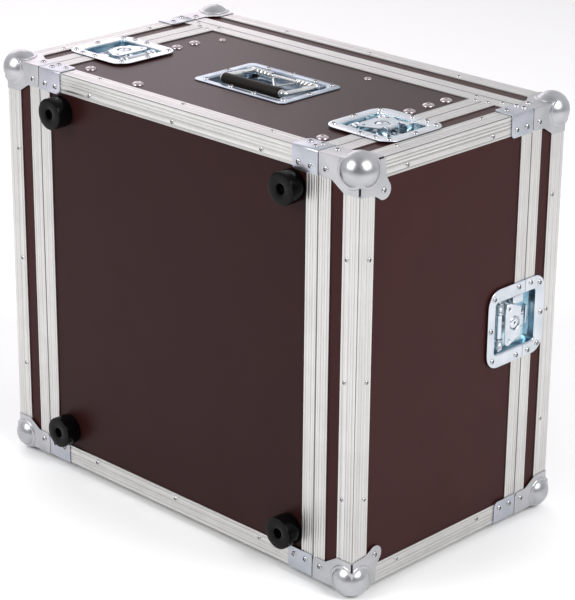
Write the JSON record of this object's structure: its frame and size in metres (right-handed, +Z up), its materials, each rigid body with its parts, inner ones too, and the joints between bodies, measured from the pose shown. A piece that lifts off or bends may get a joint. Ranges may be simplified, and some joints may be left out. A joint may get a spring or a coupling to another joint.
{
  "type": "equipment rack case",
  "caption": "Flight case for 19-inch rack equipment with lift-off front, rear and top lids, butterfly latches, ball corners, rubber feet and spring handles, lying on its side.",
  "frame": {"origin": "under the middle of the whole object, on the surface that it lies on", "axes": "+Z up as the case lies on its lower side; +X towards the front lid, +Y towards the top lid, -Y towards the base with the feet; turned -90 degrees about +X it stands on its feet"},
  "size_m": [0.627, 0.393, 0.55],
  "materials": {
    "brown_ply": "birch plywood faced with dark brown phenolic film, semi-matt",
    "aluminium_profile": "extruded aluminium, mill finish with fine lengthwise lines",
    "zinc_steel": "pressed steel, bright blue zinc plated",
    "black_rubber": "moulded black rubber",
    "grip_rubber": "moulded soft grip sleeve, dark grey",
    "rail_steel": "galvanised steel rack rail"
  },
  "bodies": {
    "case_body": {"base_panel": "brown_ply", "upper_side_panel": "brown_ply", "lower_side_panel": "brown_ply", "body_closing_frame": "aluminium_profile", "upper_base_edging": "aluminium_profile", "lower_base_edging": "aluminium_profile", "front_foot_upper": "black_rubber", "front_foot_lower": "black_rubber", "rear_foot_upper": "black_rubber", "rear_foot_lower": "black_rubber", "front_rack_rail_upper": "rail_steel", "front_rack_rail_lower": "rail_steel", "rear_rack_rail_upper": "rail_steel", "rear_rack_rail_lower": "rail_steel", "top_rack_rail_upper": "rail_steel", "top_rack_rail_lower": "rail_steel", "front_upper_latch_dish": "zinc_steel", "rear_upper_latch_dish": "zinc_steel", "front_lower_latch_dish": "zinc_steel", "rear_lower_latch_dish": "zinc_steel", "upper_handle_dish": "zinc_steel", "lower_handle_dish": "zinc_steel"},
    "front_lid": {"front_lid_shell": "brown_ply", "front_lid_frame": "aluminium_profile", "front_lid_ball_corner_upper": "zinc_steel", "front_lid_ball_corner_lower": "zinc_steel", "front_upper_latch_keeper": "zinc_steel", "front_lower_latch_keeper": "zinc_steel", "front_top_latch_dish": "zinc_steel"},
    "rear_lid": {"rear_lid_shell": "brown_ply", "rear_lid_frame": "aluminium_profile", "rear_lid_ball_corner_upper": "zinc_steel", "rear_lid_ball_corner_lower": "zinc_steel", "rear_upper_latch_keeper": "zinc_steel", "rear_lower_latch_keeper": "zinc_steel", "rear_top_latch_dish": "zinc_steel"},
    "top_lid": {"top_lid_shell": "brown_ply", "top_lid_frame": "aluminium_profile", "top_lid_ball_corner_front_upper": "zinc_steel", "top_lid_ball_corner_front_lower": "zinc_steel", "top_lid_ball_corner_rear_upper": "zinc_steel", "top_lid_ball_corner_rear_lower": "zinc_steel", "front_top_latch_keeper": "zinc_steel", "rear_top_latch_keeper": "zinc_steel"},
    "front_upper_latch_cam": {"front_upper_latch_rotor": "zinc_steel"},
    "front_upper_latch_flap": {"front_upper_latch_wing": "zinc_steel"},
    "rear_upper_latch_cam": {"rear_upper_latch_rotor": "zinc_steel"},
    "rear_upper_latch_flap": {"rear_upper_latch_wing": "zinc_steel"},
    "front_lower_latch_cam": {"front_lower_latch_rotor": "zinc_steel"},
    "front_lower_latch_flap": {"front_lower_latch_wing": "zinc_steel"},
    "rear_lower_latch_cam": {"rear_lower_latch_rotor": "zinc_steel"},
    "rear_lower_latch_flap": {"rear_lower_latch_wing": "zinc_steel"},
    "front_top_latch_cam": {"front_top_latch_rotor": "zinc_steel"},
    "front_top_latch_flap": {"front_top_latch_wing": "zinc_steel"},
    "rear_top_latch_cam": {"rear_top_latch_rotor": "zinc_steel"},
    "rear_top_latch_flap": {"rear_top_latch_wing": "zinc_steel"},
    "upper_handle": {"upper_handle_bail": "zinc_steel", "upper_handle_grip": "grip_rubber"},
    "lower_handle": {"lower_handle_bail": "zinc_steel", "lower_handle_grip": "grip_rubber"}
  },
  "joints": [
    {"name": "front_lid_lift_off", "type": "slide", "parent": "case_body", "child": "front_lid", "axis": [1, 0, 0], "range_m": [0, 0.3]},
    {"name": "rear_lid_lift_off", "type": "slide", "parent": "case_body", "child": "rear_lid", "axis": [-1, 0, 0], "range_m": [0, 0.3]},
    {"name": "top_lid_lift_off", "type": "slide", "parent": "case_body", "child": "top_lid", "axis": [0, 1, 0], "range_m": [0, 0.3]},
    {"name": "front_upper_latch_turn", "type": "hinge", "parent": "case_body", "child": "front_upper_latch_cam", "pos_m": [0.222, -0.051, 0.54], "axis": [0, 0, 1], "range_deg": [0, 180]},
    {"name": "front_upper_latch_flip", "type": "hinge", "parent": "front_upper_latch_cam", "child": "front_upper_latch_flap", "pos_m": [0.2369, -0.051, 0.5402], "axis": [0, 1, 0], "range_deg": [0, 90]},
    {"name": "rear_upper_latch_turn", "type": "hinge", "parent": "case_body", "child": "rear_upper_latch_cam", "pos_m": [-0.222, -0.051, 0.54], "axis": [0, 0, 1], "range_deg": [0, 180]},
    {"name": "rear_upper_latch_flip", "type": "hinge", "parent": "rear_upper_latch_cam", "child": "rear_upper_latch_flap", "pos_m": [-0.2369, -0.051, 0.5402], "axis": [0, -1, 0], "range_deg": [0, 90]},
    {"name": "front_lower_latch_turn", "type": "hinge", "parent": "case_body", "child": "front_lower_latch_cam", "pos_m": [0.222, -0.051, 0.01], "axis": [0, 0, -1], "range_deg": [0, 180]},
    {"name": "front_lower_latch_flip", "type": "hinge", "parent": "front_lower_latch_cam", "child": "front_lower_latch_flap", "pos_m": [0.2369, -0.051, 0.0098], "axis": [0, -1, 0], "range_deg": [0, 90]},
    {"name": "rear_lower_latch_turn", "type": "hinge", "parent": "case_body", "child": "rear_lower_latch_cam", "pos_m": [-0.222, -0.051, 0.01], "axis": [0, 0, -1], "range_deg": [0, 180]},
    {"name": "rear_lower_latch_flip", "type": "hinge", "parent": "rear_lower_latch_cam", "child": "rear_lower_latch_flap", "pos_m": [-0.2369, -0.051, 0.0098], "axis": [0, 1, 0], "range_deg": [0, 90]},
    {"name": "front_top_latch_turn", "type": "hinge", "parent": "front_lid", "child": "front_top_latch_cam", "pos_m": [0.3035, 0.105, 0.275], "axis": [1, 0, 0], "range_deg": [0, 180]},
    {"name": "front_top_latch_flip", "type": "hinge", "parent": "front_top_latch_cam", "child": "front_top_latch_flap", "pos_m": [0.3037, 0.1199, 0.275], "axis": [0, 0, 1], "range_deg": [0, 90]},
    {"name": "rear_top_latch_turn", "type": "hinge", "parent": "rear_lid", "child": "rear_top_latch_cam", "pos_m": [-0.3035, 0.105, 0.275], "axis": [-1, 0, 0], "range_deg": [0, 180]},
    {"name": "rear_top_latch_flip", "type": "hinge", "parent": "rear_top_latch_cam", "child": "rear_top_latch_flap", "pos_m": [-0.3037, 0.1199, 0.275], "axis": [0, 0, -1], "range_deg": [0, 90]},
    {"name": "upper_handle_lift", "type": "hinge", "parent": "case_body", "child": "upper_handle", "pos_m": [0.0045, 0.0105, 0.5378], "axis": [-1, 0, 0], "range_deg": [0, 90], "stiffness_Nm_per_rad": 0.3, "springref_deg": -28.65},
    {"name": "lower_handle_lift", "type": "hinge", "parent": "case_body", "child": "lower_handle", "pos_m": [0.0045, 0.0105, 0.0122], "axis": [1, 0, 0], "range_deg": [0, 90], "stiffness_Nm_per_rad": 0.3, "springref_deg": -28.65}
  ]
}
